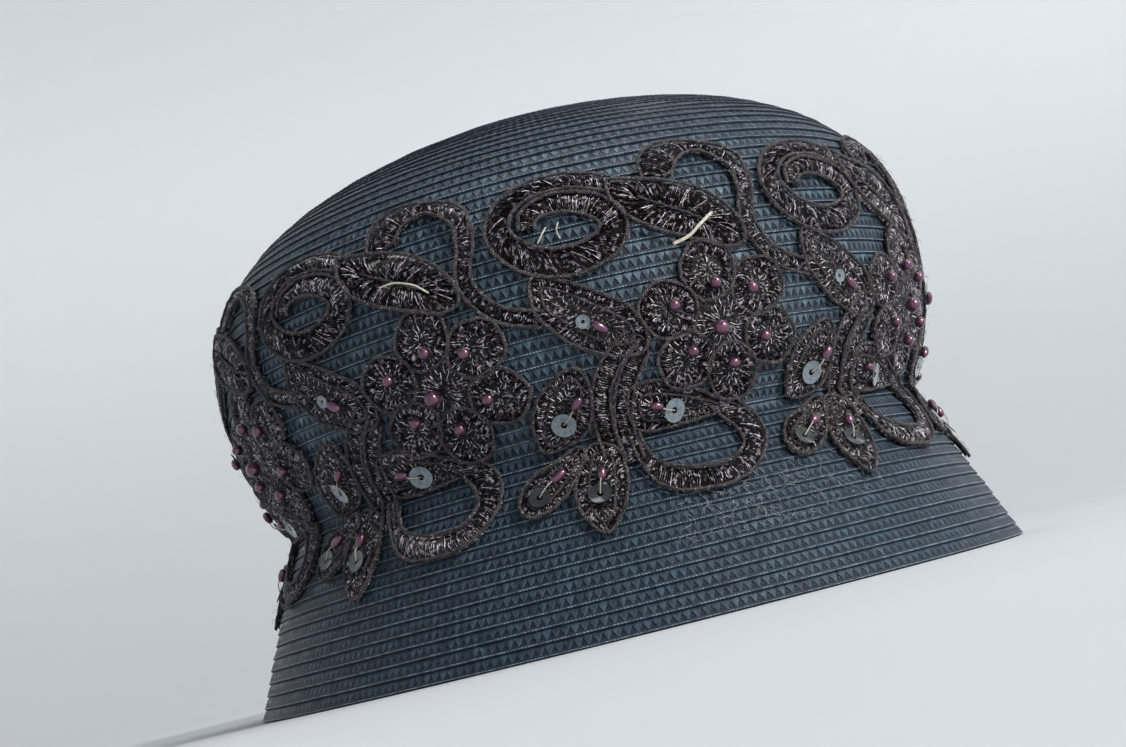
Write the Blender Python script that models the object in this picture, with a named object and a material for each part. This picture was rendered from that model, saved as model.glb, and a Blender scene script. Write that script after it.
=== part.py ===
"""A cloche hat sewn from straw braid, with a beaded lace trim round its crown, at life size.

Metres, +Z up. The brim's edge lies on z = 0 and the origin is at its centre. -Y is the front.
The braid is lapped in courses, like shingles, from the crown's tip down to the brim's edge.
The lace trim is one charted repeat, laid round the crown a whole number of times.
"""

import math

import bmesh
import bpy
from mathutils import Vector
from mathutils.geometry import delaunay_2d_cdt

# Hat: half widths and heights of its outer surface
RIM_RADIUS = 0.1105
WAIST_RADIUS = 0.090
WAIST_HEIGHT = 0.047
CROWN_RADIUS = 0.102
CROWN_WIDEST_HEIGHT = 0.087
HAT_HEIGHT = 0.147
LENGTH_RATIO = 1.055
BRIM_BULGE = 0.0007
WAIST_EASE = 0.0009
CROWN_LEAN = 0.0025
WALL_CURVE_POWER = 2.1
DOME_HEIGHT_POWER = 2.6
DOME_RADIUS_POWER = 2.0

# Braid: wall, edge of the brim, and the lapped courses
WALL = 0.0018
EDGE_WIDTH = 0.0021
COURSE = 0.0034
COURSE_STEP = 0.0005
PLAIN_STATION = 0.009
INNER_STATION = 0.014

# Sides of the rings, by how far out they are
WIDE_SIDES = 28
MIDDLE_SIDES = 20
TIP_SIDES = 12
MIDDLE_RADIUS = 0.086
TIP_RADIUS = 0.050

# Lace trim: where it lies on the hat, measured up the surface from the brim's edge
TRIM_FOOT = 0.025
TRIM_HEIGHT = 0.095
TRIM_OVERLAP = 0.010
REPEATS = 9
LACE_THICKNESS = 0.0013
LACE_CLEARANCE = 0.0011

# The lace is drawn on a chart of squares, one repeat wide and one trim high
CHART_COLUMNS = 68.4
CHART_ROWS = 95.0
FRONT_COLUMN = 33.0
KEPT_BEND = 1.00
LONGEST_EDGE = 15.0
SMALLEST_WINDOW = 24.0
FOLD_SIDES = 45

# Pearls
PETAL_PEARL_RADIUS = 0.0015
CENTRE_PEARL_RADIUS = 0.0020
PEARL_SIDES = 10
PEARL_RINGS = 4
PEARL_CLEARANCE = 0.0003
PEARL_RISE = 1.6
SHOULDER_SHARE = 0.88

FLOWER_MIDDLE = (-1.0, 47.0)
FLOWER_EYE = {"middle": (2.0, 47.5), "half_size": (10.0, 9.0)}
PETAL_SIZE = 7.3

# Petals and their pearls: columns and rows from the flower's middle
PETALS = (
    {"petal": (0.5, 13.5), "pearl": (1.0, 10.2)},
    {"petal": (12.5, 8.0), "pearl": (10.0, 7.6)},
    {"petal": (14.6, -4.3), "pearl": (12.0, -3.9)},
    {"petal": (3.3, -11.3), "pearl": (3.0, -8.9)},
    {"petal": (-8.6, -6.5), "pearl": (-7.2, -4.4)},
    {"petal": (-10.8, 6.0), "pearl": (-9.8, 6.8)},
)

# Leaves: blunt base, tip, width, sideways bend of the middle, and how far along it is widest
LEAVES = (
    {"base": (11.0, 65.5), "tip": (-19.5, 86.0), "width": 14.0, "bend": 0.0, "widest": 0.42},
    {"base": (49.0, 43.0), "tip": (27.5, 68.5), "width": 13.5, "bend": 0.5, "widest": 0.46},
    {"base": (19.5, 24.0), "tip": (35.5, 46.0), "width": 14.8, "bend": 0.8, "widest": 0.50},
    {"base": (41.5, 31.5), "tip": (73.0, 25.5), "width": 13.5, "bend": 0.0, "widest": 0.30},
    {"base": (32.5, 25.0), "tip": (11.5, 9.5), "width": 10.5, "bend": 0.0, "widest": 0.62},
    {"base": (34.5, 25.5), "tip": (30.6, 0.0), "width": 12.5, "bend": 0.5, "widest": 0.46},
)

# Places in the middle of wide motifs that hold the lace to the hat's curve
PINNED = ((-1.0, 47.0), (-4.0, 76.0), (38.0, 56.0), (27.5, 35.0), (36.0, 86.0))

# Arch over the big leaf
ARCH = (
    {"at": (-7.8, 83.0), "width": 6.0},
    {"at": (-5.2, 89.5), "width": 8.0},
    {"at": (0.5, 91.8), "width": 6.0},
    {"at": (6.0, 92.0), "width": 4.4},
    {"at": (11.5, 90.0), "width": 4.0},
    {"at": (14.8, 86.0), "width": 4.0},
    {"at": (15.5, 81.0), "width": 4.5},
)

# Stem from the arch down to the beaded leaf
STEM = (
    {"at": (17.2, 84.5), "width": 9.0},
    {"at": (14.9, 77.0), "width": 6.0},
    {"at": (12.8, 71.0), "width": 5.0},
    {"at": (15.6, 65.0), "width": 4.0},
    {"at": (19.5, 60.6), "width": 4.0},
    {"at": (29.0, 57.0), "width": 4.0},
)

# Trunk between the leaves
TRUNK = (
    {"at": (45.0, 47.5), "width": 7.0},
    {"at": (40.0, 40.0), "width": 9.0},
    {"at": (38.4, 30.0), "width": 9.0},
    {"at": (39.0, 17.0), "width": 8.0},
)

# Scroll that hangs under the flower
HANGING_SCROLL = (
    {"at": (-27.5, 24.0), "width": 4.0},
    {"at": (-24.8, 15.5), "width": 4.5},
    {"at": (-21.0, 10.6), "width": 6.0},
    {"at": (-14.5, 8.9), "width": 6.0},
    {"at": (-7.0, 8.5), "width": 5.8},
    {"at": (-0.8, 10.6), "width": 5.8},
    {"at": (3.8, 14.8), "width": 6.2},
    {"at": (4.0, 21.0), "width": 6.5},
    {"at": (0.0, 29.0), "width": 6.0},
)

# Snail-shell whorl and the window in it: middles and half sizes
WHORL = {"middle": (36.0, 78.3), "half_size": (17.0, 13.0)}
WHORL_WINDOW = {"middle": (38.3, 76.6), "half_size": (7.3, 3.9)}

LEAF_STATIONS = 4
LEAF_FULLNESS = 0.7
PETAL_SIDES = 8
WHORL_SIDES = 12
WINDOW_SIDES = 7
PROFILE_STEPS = 80

# Triangulation: its kind of result, and the distances within which points are made one
INSIDE_OUTLINES = 1
CHART_MERGE = 1e-3
MERGE_DISTANCE = 2e-6


def clear_scene():
    """Removes whatever the scene holds."""
    for old in list(bpy.data.objects):
        bpy.data.objects.remove(old, do_unlink=True)


def material(name, colour, roughness, metallic=0.0):
    """A plain Principled material."""
    made = bpy.data.materials.new(name)
    made.use_nodes = True
    shader = made.node_tree.nodes["Principled BSDF"]
    shader.inputs["Base Color"].default_value = (*colour, 1.0)
    shader.inputs["Roughness"].default_value = roughness
    shader.inputs["Metallic"].default_value = metallic
    return made


def object_from(bm, name, finish):
    """Turns a finished bmesh into a named, smooth-shaded object."""
    bmesh.ops.recalc_face_normals(bm, faces=bm.faces)
    mesh = bpy.data.meshes.new(name)
    bm.to_mesh(mesh)
    bm.free()
    mesh.materials.append(finish)
    mesh.shade_smooth()
    mesh.set_sharp_from_angle(angle=math.radians(35))
    made = bpy.data.objects.new(name, mesh)
    bpy.context.scene.collection.objects.link(made)
    return made


def skirt_radius(height):
    """The hat's half width at a height below the crown's widest part."""
    down = height / WAIST_HEIGHT
    brim = RIM_RADIUS + (WAIST_RADIUS - RIM_RADIUS) * down
    brim += BRIM_BULGE * 4 * down * (1 - down)
    up = (height - WAIST_HEIGHT) / (CROWN_WIDEST_HEIGHT - WAIST_HEIGHT)
    wall = WAIST_RADIUS + (CROWN_RADIUS - WAIST_RADIUS) * (1 - (1 - up) ** WALL_CURVE_POWER)
    return (brim + wall) / 2 + math.hypot((brim - wall) / 2, WAIST_EASE)


def profile_line():
    """The hat's outer profile from the brim's edge to the tip, as (half width, height) points."""
    steps = PROFILE_STEPS
    skirt_heights = [CROWN_WIDEST_HEIGHT * i / steps for i in range(steps)]
    points = [Vector((skirt_radius(height), height)) for height in skirt_heights]
    dome_height = HAT_HEIGHT - CROWN_WIDEST_HEIGHT
    dome_radius = skirt_radius(CROWN_WIDEST_HEIGHT)
    for i in range(steps + 1):
        turn = math.pi / 2 * i / steps
        radius = dome_radius * max(0.0, math.cos(turn)) ** (2 / DOME_RADIUS_POWER)
        rise = dome_height * math.sin(turn) ** (2 / DOME_HEIGHT_POWER)
        points.append(Vector((radius, CROWN_WIDEST_HEIGHT + rise)))
    return points


class HatSurface:
    """Places on the hat's outer surface, by turn about +Z and by distance up from the brim's edge."""

    def __init__(self):
        self.line = profile_line()
        self.along = [0.0]
        for low, high in zip(self.line, self.line[1:]):
            self.along.append(self.along[-1] + (high - low).length)
        self.length = self.along[-1]
        self.waist = min(d for d, point in zip(self.along, self.line) if point.y >= WAIST_HEIGHT)

    def section(self, distance, lift):
        """The profile's point at a distance up the surface, lifted along its outward normal."""
        distance = min(max(distance, 0.0), self.length)
        i = 1
        while self.along[i] < distance:
            i += 1
        low, high = self.line[i - 1], self.line[i]
        share = (distance - self.along[i - 1]) / (self.along[i] - self.along[i - 1])
        run = (self.line[min(i + 1, len(self.line) - 1)] - self.line[max(i - 2, 0)]).normalized()
        return low.lerp(high, share) + Vector((run.y, -run.x)) * lift

    def place(self, turn, distance, lift):
        """A point in space. Turn 0 is the front and grows towards +X."""
        point = self.section(distance, lift)
        over = max(0.0, point.y - CROWN_WIDEST_HEIGHT) / (HAT_HEIGHT - CROWN_WIDEST_HEIGHT)
        across = point.x * math.sin(turn) + CROWN_LEAN * over**2
        return Vector((across, -LENGTH_RATIO * point.x * math.cos(turn), point.y))

    def ring(self, bm, distance, lift):
        """A ring of vertices round the hat, starting at the front."""
        radius = self.section(distance, lift).x
        sides = WIDE_SIDES
        if radius < MIDDLE_RADIUS:
            sides = MIDDLE_SIDES
        if radius < TIP_RADIUS:
            sides = TIP_SIDES
        return [bm.verts.new(self.place(math.tau * i / sides, distance, lift)) for i in range(sides)]


def skin_between(bm, first, second):
    """Triangles between two rings, also where their numbers of sides differ."""
    i = j = 0
    while i < len(first) or j < len(second):
        a, b = first[i % len(first)], second[j % len(second)]
        if j == len(second) or (i < len(first) and (i + 1) * len(second) <= (j + 1) * len(first)):
            i += 1
            bm.faces.new((a, first[i % len(first)], b))
        else:
            j += 1
            bm.faces.new((a, second[j % len(second)], b))


def fan(bm, ring, tip):
    """Closes a ring on one vertex."""
    for a, b in zip(ring, ring[1:] + ring[:1]):
        bm.faces.new((a, b, tip))


def lapped_stations(low, high):
    """(distance, lift) of bare courses: each slopes in under the lower edge of the next one up."""
    count = round((high - low) / COURSE)
    pitch = (high - low) / count
    stations = []
    for course in range(count):
        stations.append((low + course * pitch, 0.0))
        stations.append((low + (course + 1) * pitch, -COURSE_STEP))
    return stations


def plain_stations(low, high, spacing, lift):
    """(distance, lift) of a plain stretch, without its upper end."""
    count = max(1, round((high - low) / spacing))
    return [(low + (high - low) * i / count, lift) for i in range(count)]


def build_crown_and_brim(surface, finish):
    """One hollow wall of lapped braid, open below. It is plain where the lace covers it."""
    bm = bmesh.new()
    bare_below = TRIM_FOOT + TRIM_OVERLAP
    bare_above = TRIM_FOOT + TRIM_HEIGHT - TRIM_OVERLAP
    stations = lapped_stations(0.0, bare_below)
    stations += plain_stations(bare_below, surface.waist, PLAIN_STATION, 0.0)
    stations += plain_stations(surface.waist, bare_above, PLAIN_STATION, 0.0)
    stations += lapped_stations(bare_above, surface.length)[:-1]
    outer = [surface.ring(bm, distance, lift) for distance, lift in stations]
    for low, high in zip(outer, outer[1:]):
        skin_between(bm, low, high)
    fan(bm, outer[-1], bm.verts.new(surface.place(0.0, surface.length, -COURSE_STEP)))

    edge_scale = (RIM_RADIUS - EDGE_WIDTH) / RIM_RADIUS
    inner = [[bm.verts.new((v.co.x * edge_scale, v.co.y * edge_scale, 0.0)) for v in outer[0]]]
    inner_stations = plain_stations(0.0, surface.waist, INNER_STATION, -WALL)[1:]
    inner_stations += plain_stations(surface.waist, surface.length, INNER_STATION, -WALL)
    inner += [surface.ring(bm, distance, lift) for distance, lift in inner_stations]
    for low, high in zip(inner, inner[1:]):
        skin_between(bm, low, high)
    fan(bm, inner[-1], bm.verts.new(surface.place(0.0, surface.length, -WALL)))
    skin_between(bm, outer[0], inner[0])
    return object_from(bm, "crown_and_brim", finish)


def oval(middle, half_size, sides):
    """A round or oval outline on the chart."""
    turns = [math.tau * (i + 0.5) / sides for i in range(sides)]
    across, up = half_size
    return [Vector(middle) + Vector((across * math.cos(t), up * math.sin(t))) for t in turns]


def leaf(base, tip, width, bend, widest):
    """The outline of a leaf, whose middle line is bent to the left by the given amount."""
    start, end = Vector(base), Vector(tip)
    run = end - start
    side = Vector((-run.y, run.x)).normalized()
    power = math.log(0.5) / math.log(widest)
    left, right = [], []
    for i in range(1, LEAF_STATIONS + 1):
        share = i / (LEAF_STATIONS + 1)
        middle = start + run * share + side * bend * math.sin(math.pi * share)
        half = width / 2 * math.sin(math.pi * share**power) ** LEAF_FULLNESS
        left.append(middle + side * half)
        right.append(middle - side * half)
    return [start, *right, end, *reversed(left)]


def band(stations):
    """The outline of a band of changing width along its middle line."""
    points = [Vector(station["at"]) for station in stations]
    left, right = [], []
    for i, point in enumerate(points):
        run = points[min(i + 1, len(points) - 1)] - points[max(i - 1, 0)]
        side = Vector((-run.y, run.x)).normalized() * stations[i]["width"] / 2
        left.append(point + side)
        right.append(point - side)
    return [*right, *reversed(left)]


def from_flower(spot):
    """A chart place given from the flower's middle."""
    return Vector(FLOWER_MIDDLE) + Vector(spot)


def motif_outlines():
    """The outlines of one repeat's motifs, which overlap."""
    outlines = [oval(**WHORL, sides=WHORL_SIDES)]
    outlines.append(oval(**FLOWER_EYE, sides=PETAL_SIDES))
    for petal in PETALS:
        outlines.append(oval(from_flower(petal["petal"]), (PETAL_SIZE, PETAL_SIZE), PETAL_SIDES))
    outlines.extend(leaf(**row) for row in LEAVES)
    outlines.extend(band(stations) for stations in (ARCH, STEM, TRUNK, HANGING_SCROLL))
    return outlines


def pearl_feet():
    """The outline of the foot of each pearl that is sewn down on one repeat."""
    squares_across = CHART_COLUMNS / (math.tau * CROWN_RADIUS / REPEATS)
    size = PETAL_PEARL_RADIUS * squares_across
    return [oval(from_flower(petal["pearl"]), (size, size), PEARL_SIDES) for petal in PETALS]


# The chart is rolled into a ring on a plane, so that its two ends meet there as on the hat.
# The ring's radius grows with the row at a rate that keeps each square a square.
RING_RADIUS = CHART_COLUMNS * REPEATS / math.tau


def rolled(spot, repeat):
    """A chart place on the rolled-up chart."""
    turn = (spot[0] - FRONT_COLUMN + repeat * CHART_COLUMNS) / RING_RADIUS
    radius = RING_RADIUS * math.exp(spot[1] / RING_RADIUS)
    return Vector((radius * math.sin(turn), radius * math.cos(turn)))


def on_hat(surface, point, lift):
    """A point of the rolled-up chart, laid on the hat and lifted off it."""
    row = RING_RADIUS * math.log(point.length / RING_RADIUS)
    distance = TRIM_FOOT + row / CHART_ROWS * TRIM_HEIGHT
    return surface.place(math.atan2(point.x, point.y), distance, lift)


def triangulated(outlines, lines=(), spots=()):
    """(points, triangles, the outlines that hold each one) of closed outlines, closed lines and spots."""
    points, edges, faces = list(spots), [], []
    for outline in outlines:
        faces.append(list(range(len(points), len(points) + len(outline))))
        points.extend(outline)
    for line in lines:
        first = len(points)
        edges.extend((first + i, first + (i + 1) % len(line)) for i in range(len(line)))
        points.extend(line)
    made = delaunay_2d_cdt(points, edges, faces, INSIDE_OUTLINES, CHART_MERGE)
    return made[0], [tuple(triangle) for triangle in made[2]], made[5]


def cut_sides(triangles):
    """The directed edges that only one triangle has."""
    sides = {side for t in triangles for side in zip(t, t[1:] + t[:1])}
    return [(a, b) for a, b in sides if (b, a) not in sides]


def lace_loops():
    """The cut edges of the whole lace on the rolled-up chart, as closed loops with few points."""
    outlines, windows = [], set()
    for repeat in range(REPEATS):
        windows.add(len(outlines))
        outlines.append([rolled(p, repeat) for p in oval(**WHORL_WINDOW, sides=WINDOW_SIDES)])
        outlines.extend([rolled(p, repeat) for p in outline] for outline in motif_outlines())
    points, triangles, holders = triangulated(outlines)
    kept = [t for t, held in zip(triangles, holders) if held and not windows & set(held)]
    following = dict(cut_sides(kept))
    loops = []
    while following:
        start = min(following)
        loop, point = [start], following.pop(start)
        while point != start:
            loop.append(point)
            point = following.pop(point)
        loops.append(with_few_points([points[i] for i in loop]))
    return [loop for loop in loops if abs(area_of(loop)) > SMALLEST_WINDOW]


def area_of(loop):
    """The area in a loop. It is negative if the loop runs clockwise."""
    return sum(a.cross(b) for a, b in zip(loop, loop[1:] + loop[:1])) / 2


def with_few_points(loop):
    """The loop without the points that bend it by less than the kept bend, unless an edge gets too long."""
    kept = list(loop)
    while len(kept) > 3:
        least, least_i = min((bend_at(kept, i), i) for i in range(len(kept)))
        if least > KEPT_BEND:
            break
        kept.pop(least_i)
    return kept


def bend_at(loop, i):
    """How far a loop's point lies off the line through its neighbours, in squares."""
    before, point, after = loop[i - 1], loop[i], loop[(i + 1) % len(loop)]
    run = after - before
    square = point.length / RING_RADIUS
    if run.length > LONGEST_EDGE * square:
        return CHART_ROWS
    return abs(run.cross(point - before)) / max(run.length, 1e-9) / square


def lace_sheet(surface, loops, holes):
    """(points, triangles) of the lace with a fold along the waist, less the holes."""
    waist_row = (surface.waist - TRIM_FOOT) / TRIM_HEIGHT * CHART_ROWS
    columns = [i * CHART_COLUMNS * REPEATS / FOLD_SIDES for i in range(FOLD_SIDES)]
    fold = [rolled((column, waist_row), 0) for column in columns]
    cuts = [loop if area_of(loop) > 0 else loop[::-1] for loop in loops]
    pins = [rolled(spot, repeat) for repeat in range(REPEATS) for spot in PINNED]
    points, triangles, holders = triangulated(cuts + holes, [fold], pins)
    return points, [t for t, held in zip(triangles, holders) if len(held) % 2]


def build_lace_trim(surface, finish):
    """The lace: one closed band, pierced between its motifs, with small beads fused to its face."""
    bm = bmesh.new()
    under, top = LACE_CLEARANCE, LACE_CLEARANCE + LACE_THICKNESS
    loops = lace_loops()
    feet = [[rolled(p, repeat) for p in foot] for repeat in range(REPEATS) for foot in pearl_feet()]

    def vertex(point, lift):
        return bm.verts.new(on_hat(surface, point, lift))

    points, triangles = lace_sheet(surface, loops, [])
    for triangle in triangles:
        bm.faces.new([vertex(points[i], under) for i in triangle])
    for a, b in cut_sides(triangles):
        low = [vertex(points[i], under) for i in (a, b)]
        high = [vertex(points[i], top) for i in (b, a)]
        bm.faces.new(low + high)
    points, triangles = lace_sheet(surface, loops, feet)
    for triangle in triangles:
        bm.faces.new([vertex(points[i], top) for i in triangle])
    for foot in feet:
        middle = sum(foot, Vector((0.0, 0.0))) / len(foot)
        low = [vertex(point, top) for point in foot]
        high = [vertex(middle.lerp(point, SHOULDER_SHARE), top + PETAL_PEARL_RADIUS) for point in foot]
        skin_between(bm, low, high)
        fan(bm, high, vertex(middle, top + PEARL_RISE * PETAL_PEARL_RADIUS))
    bmesh.ops.remove_doubles(bm, verts=bm.verts, dist=MERGE_DISTANCE)
    return object_from(bm, "lace_trim", finish)


def build_centre_pearls(surface, finish):
    """The larger pearl in the middle of each flower, sewn on over the lace."""
    lift = LACE_CLEARANCE + LACE_THICKNESS + PEARL_CLEARANCE + CENTRE_PEARL_RADIUS
    for repeat in range(REPEATS):
        bm = bmesh.new()
        bmesh.ops.create_uvsphere(
            bm, u_segments=PEARL_SIDES, v_segments=PEARL_RINGS, radius=CENTRE_PEARL_RADIUS
        )
        pearl = object_from(bm, f"centre_pearl_{repeat + 1}", finish)
        pearl.location = on_hat(surface, rolled(FLOWER_MIDDLE, repeat), lift)


def main():
    clear_scene()
    surface = HatSurface()
    straw = material("navy_straw_braid", (0.020, 0.036, 0.060), 0.45)
    lace = material("black_corded_lace", (0.012, 0.011, 0.013), 0.60)
    pearl = material("plum_pearl", (0.24, 0.09, 0.19), 0.18, 0.35)
    build_crown_and_brim(surface, straw)
    build_lace_trim(surface, lace)
    build_centre_pearls(surface, pearl)


main()
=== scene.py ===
"""The beaded straw cloche, dressed: lapped braid, corded lace, pearls, sequins and stray threads.

Metres, +Z up, the front faces -Y. Chart places are columns and rows of the lace's repeat,
nominally a millimetre each, and lifts off the hat are in millimetres too.
"""

import math
from contextlib import contextmanager

import bpy
import numpy as np
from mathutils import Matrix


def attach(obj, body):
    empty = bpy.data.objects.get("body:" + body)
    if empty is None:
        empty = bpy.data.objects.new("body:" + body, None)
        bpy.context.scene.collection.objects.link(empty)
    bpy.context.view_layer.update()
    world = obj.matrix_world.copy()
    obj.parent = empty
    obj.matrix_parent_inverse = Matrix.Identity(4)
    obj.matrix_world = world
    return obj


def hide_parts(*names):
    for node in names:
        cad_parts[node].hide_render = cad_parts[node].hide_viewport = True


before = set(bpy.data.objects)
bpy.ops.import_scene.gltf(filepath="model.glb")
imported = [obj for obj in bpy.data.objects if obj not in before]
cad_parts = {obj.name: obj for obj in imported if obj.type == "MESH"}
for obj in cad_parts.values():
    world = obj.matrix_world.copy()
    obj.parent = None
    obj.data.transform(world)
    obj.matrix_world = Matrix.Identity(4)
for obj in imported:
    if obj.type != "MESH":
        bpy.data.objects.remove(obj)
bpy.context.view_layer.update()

MM = 0.001

# The hat's form, as in the solids
RIM_RADIUS = 0.1105
WAIST_RADIUS = 0.090
WAIST_HEIGHT = 0.047
CROWN_RADIUS = 0.102
CROWN_WIDEST_HEIGHT = 0.087
HAT_HEIGHT = 0.147
LENGTH_RATIO = 1.055
BRIM_BULGE = 0.0007
WAIST_EASE = 0.0009
CROWN_LEAN = 0.0025
WALL_CURVE_POWER = 2.1
DOME_HEIGHT_POWER = 2.6
WALL = 0.0018
COURSE = 0.0034

# The unevenness that handling leaves in it: depth, waves round, start, and turn for each metre up
HANDLING = ((0.0003, 3, 1, 30), (0.0002, 7, 2, 0))

# Points that the profile is sampled at
SKIRT_STEPS = 400
DOME_STEPS = 500

# The lace's place and chart, as in the solids
TRIM_FOOT = 0.025
TRIM_HEIGHT = 0.095
REPEATS = 9
CHART_COLUMNS = 68.4
CHART_ROWS = 95
FRONT_COLUMN = 33

# Camera, fitted to the photograph and lifted to stand above the floor
CAMERA_DISTANCE = 0.520
CAMERA_LENS_MM = 56.85
CAMERA_SENSOR_MM = 36
CAMERA_CLIP = 0.01
CAMERA_RISE = math.radians(0.8)
CAMERA_PAN = math.radians(-2.534)
CAMERA_TILT = math.radians(8.087)
CAMERA_ROLL = math.radians(13.854)

# Stage: a flat floor to one radius, a round wall at the other, in metres
STAGE_FLAT = 0.55
STAGE_RADIUS = 2.4
STAGE_HEIGHT = 2.6
STAGE_ROWS = 60
STAGE_COLUMNS = 97
FLOOR_DROP = 0.0003

# Vertices this near are merged, and edges flatter than the angle are shaded smooth
MERGE_DISTANCE = 1e-6
SMOOTH_ANGLE = math.radians(50)
TINY = 1e-9

rng = np.random.default_rng(7)


def deselect_all():
    """Leaves nothing selected or active."""
    for other in bpy.context.selected_objects:
        other.select_set(False)
    bpy.context.view_layer.objects.active = None


def select_only(*pieces):
    """Selects some pieces and makes the first one active."""
    deselect_all()
    for piece in pieces:
        piece.select_set(True)
    bpy.context.view_layer.objects.active = pieces[0]


def added(name, data):
    """A new object in the scene."""
    thing = bpy.data.objects.new(name, data)
    bpy.context.scene.collection.objects.link(thing)
    return thing


@contextmanager
def editing(action="SELECT"):
    """Edit mode on the active piece, with everything selected first, or nothing."""
    bpy.ops.object.mode_set(mode="EDIT")
    bpy.ops.mesh.select_all(action=action)
    yield
    bpy.ops.object.mode_set(mode="OBJECT")


def places_of(mesh):
    """The places of a mesh's vertices, as rows of three."""
    flat = np.empty(len(mesh.vertices) * 3, dtype=np.float32)
    mesh.vertices.foreach_get("co", flat)
    return flat.reshape(-1, 3).astype(float)


def put(mesh, places):
    """Moves a mesh's vertices to their new places."""
    mesh.vertices.foreach_set("co", places.astype(np.float32).ravel())
    mesh.update()


def turned(first, second, angle):
    """Two square directions turned in their plane, the first towards the second."""
    cosine, sine = math.cos(angle), math.sin(angle)
    return cosine * first + sine * second, cosine * second - sine * first


# The hat's form

def skirt_radius(height):
    """The hat's half width at heights below the crown's widest part."""
    down = height / WAIST_HEIGHT
    brim = RIM_RADIUS + (WAIST_RADIUS - RIM_RADIUS) * down + BRIM_BULGE * 4 * down * (1 - down)
    up = (height - WAIST_HEIGHT) / (CROWN_WIDEST_HEIGHT - WAIST_HEIGHT)
    wall = WAIST_RADIUS + (CROWN_RADIUS - WAIST_RADIUS) * (1 - (1 - up) ** WALL_CURVE_POWER)
    return (brim + wall) / 2 + np.hypot((brim - wall) / 2, WAIST_EASE)


def hat_profile():
    """Distances up the surface from the brim's edge, with the radius, height and normal there."""
    heights = np.linspace(0, CROWN_WIDEST_HEIGHT, SKIRT_STEPS, endpoint=False)
    turn = np.linspace(0, math.pi / 2, DOME_STEPS)
    dome_rise = (HAT_HEIGHT - CROWN_WIDEST_HEIGHT) * np.sin(turn) ** (2 / DOME_HEIGHT_POWER)
    dome_radius = skirt_radius(CROWN_WIDEST_HEIGHT) * np.clip(np.cos(turn), 0, 1)
    radius = np.concatenate([skirt_radius(heights), dome_radius])
    height = np.concatenate([heights, CROWN_WIDEST_HEIGHT + dome_rise])
    along = np.concatenate([[0], np.cumsum(np.hypot(np.diff(radius), np.diff(height)))])
    run_out, run_up = np.gradient(radius), np.gradient(height)
    size = np.hypot(run_out, run_up)
    return along, radius, height, run_up / size, -run_out / size


ALONG, RADIUS, HEIGHT, NORMAL_OUT, NORMAL_UP = hat_profile()
SURFACE_LENGTH = ALONG[-1]


def on_hat(turn, distance, lift):
    """Points on the hat. Turn 0 is the front and grows towards +X; lift is in metres."""
    radius = np.interp(distance, ALONG, RADIUS) + lift * np.interp(distance, ALONG, NORMAL_OUT)
    height = np.interp(distance, ALONG, HEIGHT) + lift * np.interp(distance, ALONG, NORMAL_UP)
    radius = np.maximum(radius, 0)
    handling = sum(
        depth * np.sin(waves * turn + start + climb * distance) for depth, waves, start, climb in HANDLING
    )
    radius = radius + handling * np.clip(radius / WAIST_RADIUS, 0, 1)
    over = np.clip(height - CROWN_WIDEST_HEIGHT, 0, None) / (HAT_HEIGHT - CROWN_WIDEST_HEIGHT)
    across = radius * np.sin(turn) + CROWN_LEAN * over**2
    return np.stack([across, -LENGTH_RATIO * radius * np.cos(turn), height], axis=-1)


def from_chart(spots, repeat):
    """Points on the hat for (column, row, lift) spots of one repeat of the lace."""
    column = spots[..., 0] - FRONT_COLUMN + repeat * CHART_COLUMNS
    turn = column / CHART_COLUMNS * math.tau / REPEATS
    distance = TRIM_FOOT + spots[..., 1] / CHART_ROWS * TRIM_HEIGHT
    return on_hat(turn, distance, spots[..., 2] * MM)


# Grids laid on forms

def laid_grid(name, spots, along_uv, across_uv, closed=False):
    """A grid with the given places, rows by columns, and UVs. A closed one has its ends merged."""
    rows, columns = spots.shape[:2]
    bpy.ops.mesh.primitive_grid_add(x_subdivisions=columns - 1, y_subdivisions=rows - 1, size=1)
    piece = bpy.context.object
    piece.name = name
    mesh = piece.data
    put(mesh, spots)
    corner = np.empty(len(mesh.loops), dtype=np.int32)
    mesh.loops.foreach_get("vertex_index", corner)
    uv = np.stack([np.broadcast_to(given, (rows, columns)) for given in (along_uv, across_uv)], axis=-1)
    mesh.uv_layers[0].data.foreach_set("uv", uv.reshape(-1, 2)[corner].astype(np.float32).ravel())
    if closed:
        with editing():
            bpy.ops.mesh.remove_doubles(threshold=MERGE_DISTANCE)
    return piece


def joined(name, parts):
    """Several objects made one."""
    select_only(*parts)
    bpy.ops.object.join()
    whole = bpy.context.object
    whole.name = name
    whole.data.name = name
    return whole


def point_outwards(piece):
    """Turns a closed piece's faces outwards."""
    select_only(piece)
    with editing():
        bpy.ops.mesh.normals_make_consistent(inside=False)


def finish_piece(piece, material=None, slot="black_corded_lace", *nodes):
    """Gives a piece its material and smooth faces, and ties it to the hat's body."""
    if material is not None:
        piece.data.materials.append(material)
    select_only(piece)
    bpy.ops.object.shade_smooth_by_angle(angle=SMOOTH_ANGLE)
    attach(piece, "root")
    if nodes:
        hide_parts(*nodes)


# Shader building

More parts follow.
